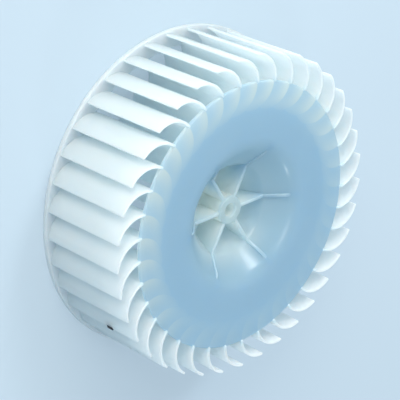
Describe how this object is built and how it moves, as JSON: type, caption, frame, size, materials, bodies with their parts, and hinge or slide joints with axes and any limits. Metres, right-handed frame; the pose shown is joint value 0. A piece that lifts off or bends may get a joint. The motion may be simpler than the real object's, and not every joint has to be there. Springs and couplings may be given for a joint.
{
  "type": "blower wheel",
  "caption": "Moulded centrifugal blower wheel with forward-curved blades, an inlet ring and a dished disc with a ribbed hub.",
  "frame": {"origin": "centre of the inlet ring's free face, on the shaft axis", "axes": "+Z along the shaft axis, from the inlet ring towards the hub's disc; +X through the outer edge of one blade"},
  "size_m": [0.1842, 0.1842, 0.058],
  "materials": {
    "milky_plastic": "satin",
    "dark_steel": "satin"
  },
  "bodies": {
    "root": {"impeller": "milky_plastic", "balance_clip": "dark_steel"}
  },
  "joints": []
}
